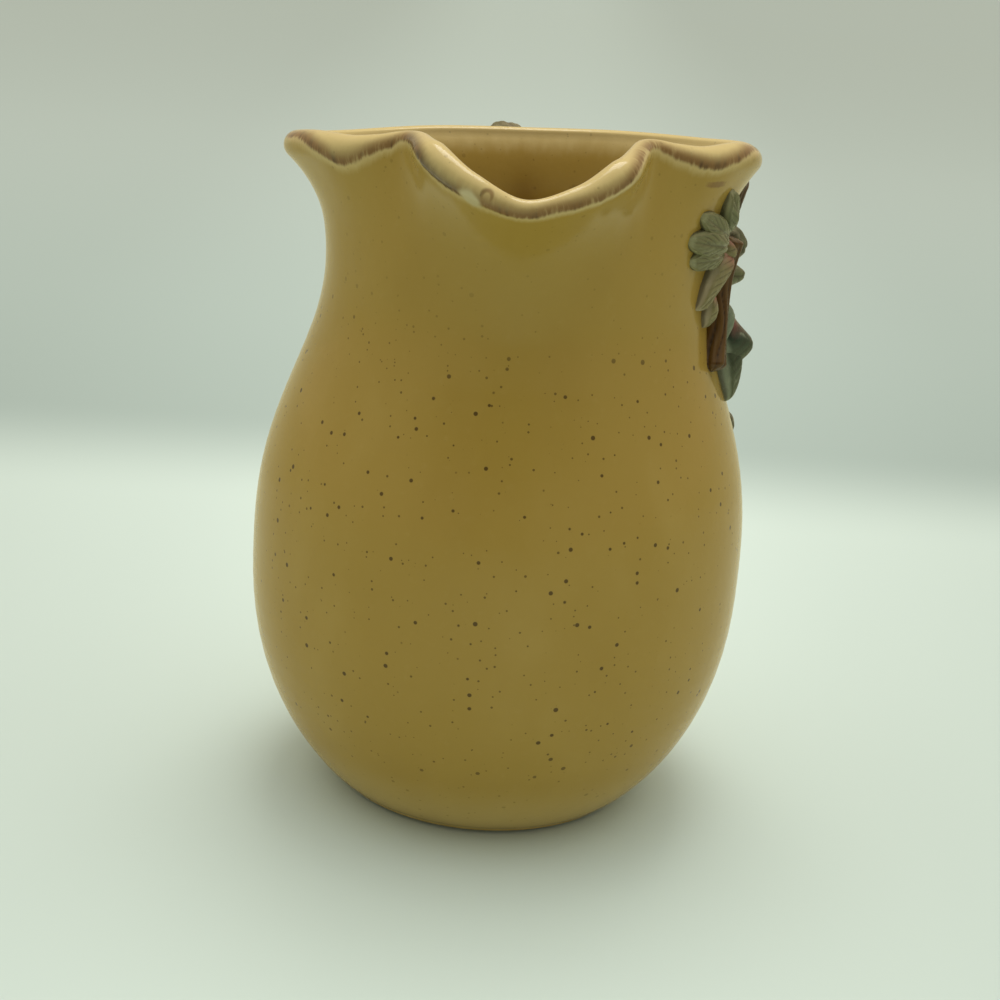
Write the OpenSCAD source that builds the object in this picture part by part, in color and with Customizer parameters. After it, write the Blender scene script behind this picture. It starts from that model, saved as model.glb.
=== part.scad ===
// Earthenware pitcher with a ruffled, pulled lip, a branch handle and a sprig of leaves.
// The foot stands on z = 0, the spout points to -Y, the handle to +Y and the sprig to +X.
// Azimuths are degrees round the pitcher from the spout, growing towards +X.

/* [Body] */
// Radius of the foot ring that the pitcher stands on
foot_r = 47.5; // [40:0.5:56]
// Width of the foot ring's standing face
foot_w = 7; // [4:0.5:12]
// Height of the foot ring, and depth of the recess inside it
foot_h = 1.8; // [1.4:0.2:4]
// How far the wall overhangs the foot ring
foot_ledge = 4.5; // [1:0.5:6]
// Thickness of the floor above the recess
floor_t = 4.5; // [3:0.5:8]
// Radius of the belly at its widest
belly_r = 83; // [74:1:95]
// Height of the widest point of the belly
belly_z = 80; // [65:1:95]
// Radius of the neck at its narrowest
neck_r = 63.2; // [56:0.2:70]
// Height of the narrowest point of the neck
neck_z = 178; // [165:1:190]
// Thickness of the wall
wall = 6; // [4.5:0.5:8]

/* [Lip] */
// Height of the lip's outer edge at its highest point, beside the spout
edge_z = 228; // [220:1:240]
// How far the spout's edge reaches out past the neck
spout_reach = 25; // [16:1:32]
// How far below the neck the throat of the spout starts
throat_drop = 13; // [6:1:25]
// Height over which the wall thickens into the rolled lip
roll_h = 12; // [8:1:18]

/* [Handle] */
// Width of the handle
handle_w = 17; // [13:0.5:22]
// Thickness of the handle
handle_t = 14; // [11:0.5:18]
// Height at which the handle leaves the neck
handle_top_z = 196; // [186:1:199]
// Height at which the handle meets the belly
handle_low_z = 101; // [90:1:115]
// How far the handle's curve is drawn out from the belly
handle_reach = 84; // [70:1:100]
// How far the handle's curve is drawn up above its upper root
handle_rise = 40; // [30:1:46]

/* [Sprig] */
// Height of the top of the hanging branch
sprig_z = 197.5; // [190:0.5:201]
// Length of the hanging branch, which its leaves follow in size and place
sprig_l = 42; // [36:1:50]
// Width of the branch
branch_w = 7.5; // [6:0.5:10]
// How far the branch stands out from the wall
branch_h = 7; // [5:0.5:10]
// How far the fullest leaf stands out from the wall
leaf_h = 12.5; // [9:0.5:15]
// Thickness of a leaf at its edge
leaf_edge = 2.4; // [1.5:0.1:3.5]
// Width of the twig that runs under the lip to the handle
twig_w = 6; // [4.5:0.5:8]
// How far the twig's curve is drawn up towards the lip
twig_rise = 20; // [14:1:23]

/* [Hidden] */

// Clay joint left between pieces that are luted on, and between neighbouring leaves
slip_gap = 0.3;
// Step in height and in azimuth at which a slope is measured
probe = 0.3;
probe_turn = 0.3;

// Fullness of the curves of the foot, the shoulder and the flare
foot_full = 2.3;
foot_round = 1 / 1.2;
shoulder_full = 1.35;
flare_full = 2.8;
// Azimuth at which the throat of the spout dies out
throat_turn = 36;

// The lip: azimuth, height share of the edge above the neck, reach share of the spout's
// reach, and thickness share of the wall. Lobes are thick and turned out, pinches thin.
lip_shares = [
    [-180, 0.64,  0.33, 1.10], [-150, 0.62,  0.34, 1.15], [-125, 0.59,  0.44, 1.25],
    [-105, 0.60,  0.54, 1.40], [ -88, 0.65,  0.53, 1.55], [ -70, 0.72,  0.37, 1.75],
    [ -54, 0.77,  0.24, 1.75], [ -44, 0.87,  0.06, 1.30], [ -37, 0.94, -0.02, 1.05],
    [ -31, 0.94,  0.16, 1.20], [ -23, 0.89,  0.60, 1.50], [ -12, 0.77,  0.86, 1.25],
    [   0, 0.66,  0.90, 1.05], [  12, 0.73,  0.82, 1.25], [  23, 0.86,  0.64, 1.55],
    [  31, 0.95,  0.22, 1.25], [  37, 1.00, -0.04, 1.05], [  44, 0.95,  0.04, 1.30],
    [  54, 0.87,  0.22, 1.75], [  70, 0.85,  0.36, 1.75], [  88, 0.79,  0.42, 1.50],
    [ 105, 0.77,  0.46, 1.35], [ 125, 0.73,  0.41, 1.20], [ 150, 0.69,  0.34, 1.15]];

function turned(az) = az - 360 * floor((az + 180) / 360);
function eased(t) = t * t * (3 - 2 * t);
function held(x, low, high) = min(max(x, low), high);
function lip_row(i) =
    let (n = len(lip_shares))
    lip_shares[(i + n) % n] + [360 * floor(i / n), 0, 0, 0];
function lip_slope(i) =
    let (before = lip_row(i - 1), after = lip_row(i + 1))
    (after - before) / (after[0] - before[0]);
// The three shares at an azimuth, on a smooth curve through the rows
function lip_share(az) =
    let (a = turned(az),
         i = len([for (row = lip_shares) if (row[0] <= a) 1]) - 1,
         low = lip_row(i), high = lip_row(i + 1),
         d = high[0] - low[0], t = (a - low[0]) / d)
    low * (2 * t^3 - 3 * t^2 + 1) + lip_slope(i) * d * (t^3 - 2 * t^2 + t)
    + high * (3 * t^2 - 2 * t^3) + lip_slope(i + 1) * d * (t^3 - t^2);
// Edge height, reach and thickness of the lip at an azimuth
function lip(az) =
    let (share = lip_share(az))
    [neck_z + (edge_z - neck_z) * share[1], spout_reach * share[2], wall * share[3]];

// Radius of the turned body, before the lip is pulled
function turned_r(z) =
    z < belly_z
    ? let (t = held((z - foot_h) / (belly_z - foot_h), 0, 1))
      foot_r + foot_ledge
      + (belly_r - foot_r - foot_ledge) * (1 - (1 - t)^foot_full)^foot_round
    : let (t = held((z - belly_z) / (neck_z - belly_z), 0, 1))
      belly_r - (belly_r - neck_r) * (1 - cos(180 * t^shoulder_full)) / 2;
function throat_share(az) =
    abs(turned(az)) < throat_turn ? (1 + cos(180 * turned(az) / throat_turn)) / 2 : 0;
// Radius of the outer surface, with the lip's values at that azimuth given
function outer_r(az, z, edge) =
    let (start = neck_z - throat_drop * throat_share(az),
         t = max(z - start, 0) / (edge[0] - start))
    turned_r(z) + edge[1] * t^flare_full;
function on_ray(az, r, z) = [r * sin(az), -r * cos(az), z];
function outer(az, z, edge) = on_ray(az, outer_r(az, z, edge), z);
function unit(v) = v / norm(v);
// Point and direction on a drawn curve with four guiding points
function curve(guides, t) =
    guides[0] * (1 - t)^3 + guides[1] * 3 * t * (1 - t)^2
    + guides[2] * 3 * t^2 * (1 - t) + guides[3] * t^3;
function curve_way(guides, t) =
    unit((guides[1] - guides[0]) * (1 - t)^2 + (guides[2] - guides[1]) * 2 * t * (1 - t)
         + (guides[3] - guides[2]) * t^2);
// Directions at a point of the outer surface: up along it, and square out of it
function upward(az, z, edge) = unit(outer(az, z, edge) - outer(az, z - probe, edge));
function outward(az, z, edge, edge_before, edge_after) =
    unit(cross(outer(az + probe_turn, z, edge_after) - outer(az - probe_turn, z, edge_before),
               upward(az, z, edge)));

// A closed skin over a grid of points: columns run round, rings run from first to last
function skin_faces(columns, rings) = [
    for (i = [0:columns - 1]) for (j = [0:rings - 2]) for (half = [0, 1])
        let (k = (i + 1) % columns, a = i * rings + j, b = k * rings + j)
        half == 0 ? [a, b + 1, b] : [a, a + 1, b + 1]];
function flat_list(rows) = [for (row = rows) for (item = row) item];

// Body: azimuths are closer together round the spout, rings closer at the foot and the lip
fine_turn = 2.5;
coarse_turn = 6;
fine_span = 45;
body_turns = [for (a = [-fine_span:fine_turn:fine_span]) a,
              for (a = [fine_span + coarse_turn:coarse_turn:360 - fine_span - coarse_turn]) a];
foot_facets = 96;
low_rings = 15;
high_rings = 9;
roll_steps = 5;
ring_crowding = 1.25;
low_z = neck_z - throat_drop;
function body_z(i, edge) =
    i < low_rings
    ? foot_h + (low_z - foot_h) * (i / low_rings)^ring_crowding
    : low_z + (edge[0] - low_z) * ((i - low_rings) / high_rings);
function wall_at(z, edge) = wall + (edge[2] - wall) * eased(held((z - edge[0]) / roll_h + 1, 0, 1));
function body_column(az) =
    let (edge = lip(az), before = lip(az - probe_turn), after = lip(az + probe_turn),
         last = low_rings + high_rings,
         heights = [for (i = [0:last]) body_z(i, edge)],
         skin = [for (z = heights) outer(az, z, edge)],
         square = [for (z = heights) outward(az, z, edge, before, after)],
         along = upward(az, edge[0], edge),
         roll = edge[2] / 2,
         middle = skin[last] - square[last] * roll)
    [for (p = skin) p,
     for (i = [1:roll_steps - 1])
         let (a = 180 * i / roll_steps)
         middle + (square[last] * cos(a) + along * sin(a)) * roll,
     for (i = [last:-1:1]) skin[i] - square[i] * wall_at(heights[i], edge)];

module body() {
    grid = [for (az = body_turns) body_column(az)];
    columns = len(grid);
    rings = len(grid[0]);
    under = columns * rings;
    floor_z = foot_h + floor_t;
    color([0.62, 0.49, 0.22]) union() {
        polyhedron(
            concat(flat_list(grid), [[0, 0, foot_h], [0, 0, floor_z]]),
            concat(skin_faces(columns, rings), flat_list([for (i = [0:columns - 1])
                let (k = (i + 1) % columns)
                [[i * rings, k * rings, under],
                 [k * rings + rings - 1, i * rings + rings - 1, under + 1]]])));
        rotate_extrude($fn = foot_facets)
            translate([foot_r - foot_w, 0])
            square([foot_w, foot_h + floor_t / 2]);
    }
}

// Handle: a branch drawn out from the neck and back to the belly, in a plane through the axis
handle_turn = 185;
low_draw_share = 1.33;
root_depth = 8;
root_gap = 0.45;
root_spread_share = 0.5;
root_reach_share = 0.13;
knot_share = 0.05;
knot_turn = 130;
handle_rings = 26;
handle_sides = 14;
function knot(i) = 1 + knot_share * sin(i * knot_turn);
function on_back(z) = outer_r(handle_turn, z, lip(handle_turn));
handle_guides = [
    [on_back(handle_top_z), handle_top_z],
    [on_back(handle_top_z) + handle_reach / 2, handle_top_z + handle_rise],
    [belly_r + handle_reach, handle_low_z + handle_rise * low_draw_share],
    [on_back(handle_low_z), handle_low_z]];
function root_spread(t) =
    root_spread_share * (max(0, 1 - t / root_reach_share)^2
                         + max(0, 1 - (1 - t) / root_reach_share)^2);
// A point of the handle's plane and its side, kept off the wall by the clay joint
function off_wall(side, r, z) =
    let (az = handle_turn + atan2(side, r))
    on_ray(az, max(norm([side, r]), outer_r(az, z, lip(az)) + root_gap), z);
function handle_ring(t, depth) =
    let (way = curve_way(handle_guides, t), middle = curve(handle_guides, t) + way * depth,
         size = knot(t * handle_rings) * (1 + root_spread(t)) / 2)
    [for (i = [0:handle_sides - 1])
        let (a = 360 * i / handle_sides, up = handle_t * size * sin(a))
        off_wall(handle_w * size * cos(a), middle[0] - way[1] * up, middle[1] + way[0] * up)];

module handle() {
    rings = [handle_ring(0, -root_depth),
             for (i = [0:handle_rings]) handle_ring(i / handle_rings, 0),
             handle_ring(1, root_depth)];
    count = len(rings);
    top = handle_guides[0] - curve_way(handle_guides, 0) * root_depth;
    low = handle_guides[3] + curve_way(handle_guides, 1) * root_depth;
    ends = count * handle_sides;
    color([0.27, 0.21, 0.13]) polyhedron(
        concat(flat_list(rings), [off_wall(0, 0, top[1]), off_wall(0, 0, low[1])]),
        [for (i = [0:count - 2]) for (j = [0:handle_sides - 1]) for (half = [0, 1])
             let (k = (j + 1) % handle_sides, a = i * handle_sides, b = a + handle_sides)
             half == 0 ? [a + j, b + k, a + k] : [a + j, b + j, b + k],
         for (j = [0:handle_sides - 1]) [j, (j + 1) % handle_sides, ends],
         for (j = [0:handle_sides - 1])
             let (a = ends - handle_sides)
             [a + (j + 1) % handle_sides, a + j, ends + 1]]);
}

// Relief: a sheet of points [along, z, height] laid on the wall. Along is measured round the
// neck from the branch, positive towards the handle.
sprig_turn = 82;
function on_wall(along, z, height) =
    let (az = sprig_turn + along / neck_r * 180 / PI,
         edge = lip(az))
    outer(az, z, edge)
    + outward(az, z, edge, lip(az - probe_turn), lip(az + probe_turn)) * height;
module relief(sheet) {
    rows = len(sheet);
    cols = len(sheet[0]);
    faces = rows * cols;
    top = [for (row = sheet) for (p = row) on_wall(p[0], p[1], p[2])];
    back = [for (row = sheet) for (p = row) on_wall(p[0], p[1], slip_gap)];
    rim = [for (j = [0:cols - 2]) j,
           for (i = [0:rows - 2]) i * cols + cols - 1,
           for (j = [cols - 1:-1:1]) (rows - 1) * cols + j,
           for (i = [rows - 1:-1:1]) i * cols];
    polyhedron(concat(top, back),
        [for (i = [0:rows - 2]) for (j = [0:cols - 2])
             let (a = i * cols + j, b = a + cols)
             each [[a, b + 1, a + 1], [a, b, b + 1],
                   [faces + a, faces + a + 1, faces + b + 1], [faces + a, faces + b + 1, faces + b]],
         for (i = [0:len(rim) - 1])
             let (a = rim[i], b = rim[(i + 1) % len(rim)])
             each [[a, faces + b, faces + a], [a, b, faces + b]]]);
}

// Leaves: place along and drop from the branch's top, heading in degrees (0 up, 90 towards
// the handle, 180 down), length, width, sideways bend, crown share of the fullest leaf,
// place of the widest part, and how deep the lobes are cut. Places and lengths are shares of
// the sprig's length.
upright_shares = [-0.12, -0.06, -30, 0.36, 0.12,  0.02, 0.42, 0.80, 0.00];
side_shares    = [-0.15,  0.02, -87, 0.60, 0.36, -0.02, 0.58, 1.25, 0.22];
front_shares   = [-0.19,  0.20, 223, 0.40, 0.17,  0.03, 0.50, 0.75, 0.10];
small_shares   = [-0.31,  0.46, 203, 0.22, 0.10,  0.01, 0.36, 0.80, 0.00];
back_shares    = [ 0.12,  0.10,  86, 0.32, 0.20,  0.02, 0.70, 0.75, 0.00];
round_shares   = [ 0.11,  0.34,  96, 0.22, 0.16,  0.00, 0.80, 1.05, 0.00];
pendant_shares = [ 0.19,  0.50, 198, 0.82, 0.31, -0.02, 1.02, 0.95, 0.14];
low_shares     = [ 0.66,  1.52, 172, 0.33, 0.20, -0.02, 0.40, 0.80, 0.00];
leaf_rows = 9;
leaf_half = 3;
leaf_blunt = 0.8;
leaf_dome = 0.7;
lobe_count = 2;
stub_share = 0.14;
rib_share = 0.10;
start_share = 0.04;
end_share = 0.97;
low_share = 0.35;
swell_from = 15;
swell_to = 170;
function leaf_outline(u, wide, lobe) =
    max(stub_share, sin(180 * u^wide)^leaf_blunt
                    * (1 - lobe * (1 + cos(360 * lobe_count * u)) / 2 * sin(180 * u)));
function leaf_swell(u) =
    low_share + (1 - low_share) * sin(swell_from + (swell_to - swell_from) * u)^2;
function leaf_sheet(s) = [
    for (i = [0:leaf_rows])
        let (u = i / leaf_rows,
             half = s[4] * leaf_outline(start_share + (end_share - start_share) * u, s[7], s[8]) / 2,
             crown = max(leaf_h * s[6] * leaf_swell(u) - leaf_edge, 0))
        [for (j = [-leaf_half:leaf_half])
            let (v = j / leaf_half, f = s[3] * u, g = s[5] * u^2 + v * half,
                 dome = (1 - v * v)^leaf_dome * (j == 0 ? 1 - rib_share : 1))
            [sprig_l * (s[0] + f * sin(s[2]) + g * cos(s[2])),
             sprig_z - sprig_l * (s[1] - f * cos(s[2]) + g * sin(s[2])),
             leaf_edge + crown * dome]]];

// Stems: a rounded bead laid along a path of [along, z], with slow swellings like knots
stem_half = 3;
stem_edge = 1.5;
function stem_sheet(path, w, h, taper_share) = [
    for (i = [0:len(path) - 1])
        let (p = path[i],
             way = unit(path[min(i + 1, len(path) - 1)] - path[max(i - 1, 0)]),
             size = knot(i) * (1 - taper_share * i / (len(path) - 1)))
        [for (j = [-stem_half:stem_half])
            let (a = 90 * j / stem_half)
            [p[0] + way[1] * sin(a) * w * size / 2, p[1] - way[0] * sin(a) * w * size / 2,
             stem_edge + (h * size - stem_edge) * cos(a)]]];
branch_rings = 12;
branch_lean_share = 0.29;
branch_taper_share = 0.25;
branch_path = [for (i = [0:branch_rings])
    let (u = i / branch_rings)
    [-sprig_l * branch_lean_share * u^2, sprig_z - sprig_l * u]];
twig_h_share = 0.75;
twig_start_share = 0.42;
twig_root_share = 0.05;
twig_draw_share = 0.25;
twig_end_share = 0.05;
twig_rings = 18;
twig_end = (handle_turn - sprig_turn) * PI / 180 * neck_r - handle_w / 2 * (1 + root_spread_share)
           - slip_gap;
twig_guides = [
    [sprig_l * twig_start_share, sprig_z + sprig_l * twig_root_share],
    [sprig_l * twig_start_share, sprig_z + twig_rise],
    [sprig_l * (twig_start_share + twig_draw_share), sprig_z + twig_rise],
    [twig_end, sprig_z - sprig_l * twig_end_share]];
twig_path = [for (i = [0:twig_rings]) curve(twig_guides, i / twig_rings)];

// Leaves that hang from the twig: at a share of its way, their roots a gap under it
twig_leaf_gap = 2.3;
function under_twig(share, leaf_shares) =
    let (p = curve(twig_guides, share))
    concat([p[0] / sprig_l, (sprig_z - p[1] + twig_w / 2 + twig_leaf_gap) / sprig_l], leaf_shares);
twig_a_shares = under_twig(0.60, [165, 0.50, 0.30,  0.04, 0.60, 0.80, 0.00]);
twig_b_shares = under_twig(0.80, [178, 0.48, 0.28, -0.04, 0.60, 0.80, 0.14]);

module leaf(shares, tint) { color(tint) relief(leaf_sheet(shares)); }
module stem(sheet, tint) { color(tint) relief(sheet); }
module twig() { stem(stem_sheet(twig_path, twig_w, twig_w * twig_h_share, 0), [0.30, 0.20, 0.13]); }
module branch() {
    stem(stem_sheet(branch_path, branch_w, branch_h, branch_taper_share), [0.34, 0.17, 0.11]);
}
module upright_leaf() { leaf(upright_shares, [0.40, 0.45, 0.36]); }
module side_leaf() { leaf(side_shares, [0.38, 0.43, 0.32]); }
module front_leaf() { leaf(front_shares, [0.42, 0.44, 0.34]); }
module small_leaf() { leaf(small_shares, [0.36, 0.40, 0.31]); }
module back_leaf() { leaf(back_shares, [0.22, 0.30, 0.28]); }
module round_leaf() { leaf(round_shares, [0.42, 0.45, 0.30]); }
module pendant_leaf() { leaf(pendant_shares, [0.20, 0.31, 0.29]); }
module low_leaf() { leaf(low_shares, [0.24, 0.25, 0.19]); }
module twig_leaf_a() { leaf(twig_a_shares, [0.36, 0.41, 0.32]); }
module twig_leaf_b() { leaf(twig_b_shares, [0.30, 0.38, 0.33]); }

body();
handle();
twig();
branch();
upright_leaf();
side_leaf();
front_leaf();
small_leaf();
back_leaf();
round_leaf();
pendant_leaf();
low_leaf();
twig_leaf_a();
twig_leaf_b();
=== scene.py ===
"""Looks of an earthenware pitcher: a thrown body with a ruffled, pulled lip, a honey glaze with a
brushed line on the lip, a bark handle, and a modelled sprig of leaves under the lip.

Lengths are millimetres until a mesh is made. The foot stands on z = 0, the spout points to -Y,
the handle to +Y and the sprig to +X. Azimuths are degrees round the pitcher from the spout.
"""

from __future__ import annotations

import logging
import math
from dataclasses import dataclass, field
from enum import Enum
from typing import Callable, Mapping, Sequence

import bpy
import numpy as np
from mathutils import Matrix

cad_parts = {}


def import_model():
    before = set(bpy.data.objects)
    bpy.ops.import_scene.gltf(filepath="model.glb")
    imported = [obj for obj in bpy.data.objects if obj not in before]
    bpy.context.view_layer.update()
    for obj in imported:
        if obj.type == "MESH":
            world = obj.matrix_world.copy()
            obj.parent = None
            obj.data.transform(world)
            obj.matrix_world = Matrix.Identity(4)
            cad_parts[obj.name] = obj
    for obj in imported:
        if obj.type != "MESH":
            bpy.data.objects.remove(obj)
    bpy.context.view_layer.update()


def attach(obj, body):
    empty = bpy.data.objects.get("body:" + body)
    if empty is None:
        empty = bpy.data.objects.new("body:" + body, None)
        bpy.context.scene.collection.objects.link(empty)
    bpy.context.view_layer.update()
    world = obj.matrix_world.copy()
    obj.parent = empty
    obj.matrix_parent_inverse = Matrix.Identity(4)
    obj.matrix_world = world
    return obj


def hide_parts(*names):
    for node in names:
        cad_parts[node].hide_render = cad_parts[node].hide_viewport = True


log = logging.getLogger("pitcher")

METRES = 0.001
ROOT_BODY = "root"

Array = np.ndarray
Tone = tuple[float, float, float]
Triple = tuple[float, float, float]


def linear(tone: Tone) -> tuple[float, float, float, float]:
    """Turns a colour as a screen shows it, 0 to 255, into a node's linear colour.

    Args:
        tone: red, green and blue, 0 to 255.

    Returns:
        The linear red, green and blue, and an alpha of 1.
    """
    screen = np.array(tone) / 255
    out = np.where(screen <= 0.04045, screen / 12.92, ((screen + 0.055) / 1.055) ** 2.4)
    return (*out.tolist(), 1.0)


def eased(t: Array) -> Array:
    """Eases values between 0 and 1, flat at both ends, and holds them outside."""
    t = np.clip(t, 0, 1)
    return t * t * (3 - 2 * t)


def bump(t: Array) -> Array:
    """A smooth hill of height 1 at 0 that has died out by 2."""
    return np.exp(-np.square(t))


def turned_back(azimuth: Array) -> Array:
    """Brings azimuths into -180 to 180 degrees."""
    return (np.asarray(azimuth, float) + 180) % 360 - 180


def unit(vectors: Array) -> Array:
    """Scales vectors in the last axis to length 1."""
    return vectors / np.linalg.norm(vectors, axis=-1, keepdims=True)


def around(table: Sequence[Sequence[float]], azimuth: Array) -> Array:
    """Reads a table of azimuth rows on a smooth closed curve through them.

    Args:
        table: rows of an azimuth and its values, in rising azimuth.
        azimuth: where to read.

    Returns:
        The values, in a last axis that is one shorter than a row.
    """
    rows = np.array(table, float)
    turn = np.array([360.0] + [0.0] * (rows.shape[1] - 1))
    rows = np.concatenate([rows[-2:] - turn, rows, rows[:2] + turn])
    slope = np.zeros_like(rows)
    slope[1:-1] = (rows[2:] - rows[:-2]) / (rows[2:, :1] - rows[:-2, :1])
    azimuth = turned_back(azimuth)
    low = np.clip(np.searchsorted(rows[:, 0], azimuth, side="right") - 1, 1, len(rows) - 3)
    span = (rows[low + 1, 0] - rows[low, 0])[..., None]
    t = (azimuth - rows[low, 0])[..., None] / span
    return (
        rows[low] * (2 * t**3 - 3 * t**2 + 1)
        + slope[low] * span * (t**3 - 2 * t**2 + t)
        + rows[low + 1] * (3 * t**2 - 2 * t**3)
        + slope[low + 1] * span * (t**3 - t**2)
    )[..., 1:]


def wander(*coordinates: Array, seed: int, waves: int = 7) -> Array:
    """The slow unevenness of handwork, a sum of waves in every coordinate.

    Args:
        coordinates: arrays that fit together, in units of one wave or so.
        seed: which unevenness.
        waves: how many waves are added.

    Returns:
        Values around 0, mostly within -1 and 1.
    """
    draw = np.random.default_rng(seed)
    total = np.zeros(np.broadcast(*coordinates).shape)
    for _ in range(waves):
        phase = draw.uniform(0, 2 * math.pi)
        for values in coordinates:
            phase = phase + values * draw.uniform(0.4, 1.6) * draw.choice([-1, 1])
        total = total + np.sin(phase)
    return total / math.sqrt(waves)


# ---------- shader nodes


class Channel:
    """A value, colour or direction on its way through a node tree; operators add Math nodes."""

    def __init__(self, nodes: Nodes, socket: bpy.types.NodeSocket) -> None:
        """Wraps an output socket of that tree."""
        self.nodes = nodes
        self.socket = socket

    def __add__(self, other: Channel | float) -> Channel:
        """This plus the other."""
        return self.nodes.maths("ADD", self, other)

    __radd__ = __add__

    def __mul__(self, other: Channel | float) -> Channel:
        """This times the other."""
        return self.nodes.maths("MULTIPLY", self, other)

    __rmul__ = __mul__

    def __sub__(self, other: Channel | float) -> Channel:
        """This less the other."""
        return self.nodes.maths("SUBTRACT", self, other)

    def __rsub__(self, other: float) -> Channel:
        """The other less this."""
        return self.nodes.maths("SUBTRACT", other, self)

    def __truediv__(self, other: Channel | float) -> Channel:
        """This over the other."""
        return self.nodes.maths("DIVIDE", self, other)

    def __rtruediv__(self, other: float) -> Channel:
        """The other over this."""
        return self.nodes.maths("DIVIDE", other, self)

    def __abs__(self) -> Channel:
        """This without its sign."""
        return self.nodes.maths("ABSOLUTE", self)

    def at_least(self, other: Channel | float) -> Channel:
        """The larger of this and the other."""
        return self.nodes.maths("MAXIMUM", self, other)

    def rise(self, low: float, high: float) -> Channel:
        """Eases from 0 at low to 1 at high, or the other way round when high is under low.

        Args:
            low: the value that becomes 0.
            high: the value that becomes 1.

        Returns:
            The eased value, held within 0 and 1.
        """
        falls = float(high < low)
        ends = {1: min(low, high), 2: max(low, high), 3: falls, 4: 1 - falls}
        settings = {"interpolation_type": "SMOOTHSTEP", "clamp": True}
        return self.nodes.node("ShaderNodeMapRange", settings, {0: self, **ends})


class Nodes:
    """Builds a node tree."""

    def __init__(self, tree: bpy.types.NodeTree) -> None:
        """Empties the tree to build in."""
        self.tree = tree
        tree.nodes.clear()

    def node(
        self,
        kind: str,
        settings: Mapping[str, object] | None = None,
        inputs: Mapping[int | str, object] | None = None,
        output: int | str = 0,
    ) -> Channel:
        """Adds a node, sets it up and then feeds it.

        Args:
            kind: the node's type.
            settings: the node's own properties.
            inputs: a constant or a Channel for each socket, by number or name.
            output: which output is returned.

        Returns:
            The chosen output.
        """
        made = self.tree.nodes.new(kind)
        for name, value in (settings or {}).items():
            setattr(made, name, value)
        for name, value in (inputs or {}).items():
            if isinstance(value, Channel):
                self.tree.links.new(value.socket, made.inputs[name])
            else:
                made.inputs[name].default_value = value
        return Channel(self, made.outputs[output])

    def end(self, kind: str, shader: Channel) -> None:
        """Adds the output node that shows the shader."""
        made = self.tree.nodes.new(kind)
        self.tree.links.new(shader.socket, made.inputs["Surface"])

    def maths(self, operation: str, *values: Channel | float) -> Channel:
        """Adds a Math node."""
        return self.node("ShaderNodeMath", {"operation": operation}, dict(enumerate(values)))

    def coats(self, colour: Channel | Tone, *laid: tuple[Channel | Tone, Channel]) -> Channel:
        """Lays coats over a colour, one after the other.

        Args:
            colour: the ground, as a screen shows it if it is constant.
            laid: each coat's colour and how much it covers, 0 to 1.

        Returns:
            The colour on top.
        """
        for coat, share in laid:
            under, over = (c if isinstance(c, Channel) else linear(c) for c in (colour, coat))
            inputs = {0: share, 6: under, 7: over}
            colour = self.node("ShaderNodeMix", {"data_type": "RGBA"}, inputs, 2)
        return colour

    def stretch(self, vector: Channel, scale: Triple) -> Channel:
        """Multiplies coordinates, each axis by its own number."""
        return self.node("ShaderNodeVectorMath", {"operation": "MULTIPLY"}, {0: vector, 1: scale})

    def apart(self, vector: Channel, place: Triple) -> Channel:
        """Distance of coordinates from a place."""
        settings = {"operation": "DISTANCE"}
        return self.node("ShaderNodeVectorMath", settings, {0: vector, 1: place}, "Value")

    def parts(self, vector: Channel) -> list[Channel]:
        """The three numbers of a vector."""
        made = self.node("ShaderNodeSeparateXYZ", {}, {0: vector})
        return [Channel(self, made.socket.node.outputs[i]) for i in range(3)]

    def mark(self, name: str) -> Channel:
        """A value that the mesh holds under that name."""
        return self.node("ShaderNodeAttribute", {"attribute_name": name}, output="Fac")

    def place(self, name: str) -> Channel:
        """Coordinates that the mesh holds under that name, in millimetres."""
        return self.node("ShaderNodeAttribute", {"attribute_name": name}, output="Vector")

    def ray(self, kind: str) -> Channel:
        """1 for light rays of that kind and 0 for others."""
        return self.node("ShaderNodeLightPath", output=kind)

    def noise(self, vector: Channel, size: float, detail: float = 2.0) -> Channel:
        """A cloudy value around 0, mostly within -1 and 1; size is about a cloud's width."""
        inputs = {"Vector": vector, "Scale": 1 / size, "Detail": detail}
        return (self.node("ShaderNodeTexNoise", {}, inputs) - 0.5) * 4

    def specks(self, vector: Channel, apart: float, radius: float, share: float) -> Channel:
        """Small round specks of uneven size.

        Args:
            vector: the coordinates.
            apart: about how far apart specks could be, in their units.
            radius: radius of the largest speck.
            share: how many of those places hold one.

        Returns:
            1 on a speck and 0 off it.
        """
        inputs = {"Vector": vector, "Scale": 1 / apart}
        away = self.node("ShaderNodeTexVoronoi", {}, inputs, "Distance")
        drawn = self.node("ShaderNodeTexVoronoi", {}, inputs, "Color")
        chance = self.node("ShaderNodeSeparateColor", {}, {0: drawn})
        size = (chance - (1 - share)) / share
        return (size * radius - away * apart).rise(0.0, radius * 0.3)


def paint(name: str, look: Callable[[Nodes], Mapping[str, object]]) -> bpy.types.Material:
    """Makes a material.

    Args:
        name: its name.
        look: builds its look in an empty tree and returns what feeds the shader.

    Returns:
        The material.
    """
    made = bpy.data.materials.new(name)
    made.use_nodes = True
    nodes = Nodes(made.node_tree)
    shader = nodes.node("ShaderNodeBsdfPrincipled", {}, look(nodes))
    nodes.end("ShaderNodeOutputMaterial", shader)
    return made


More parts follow.
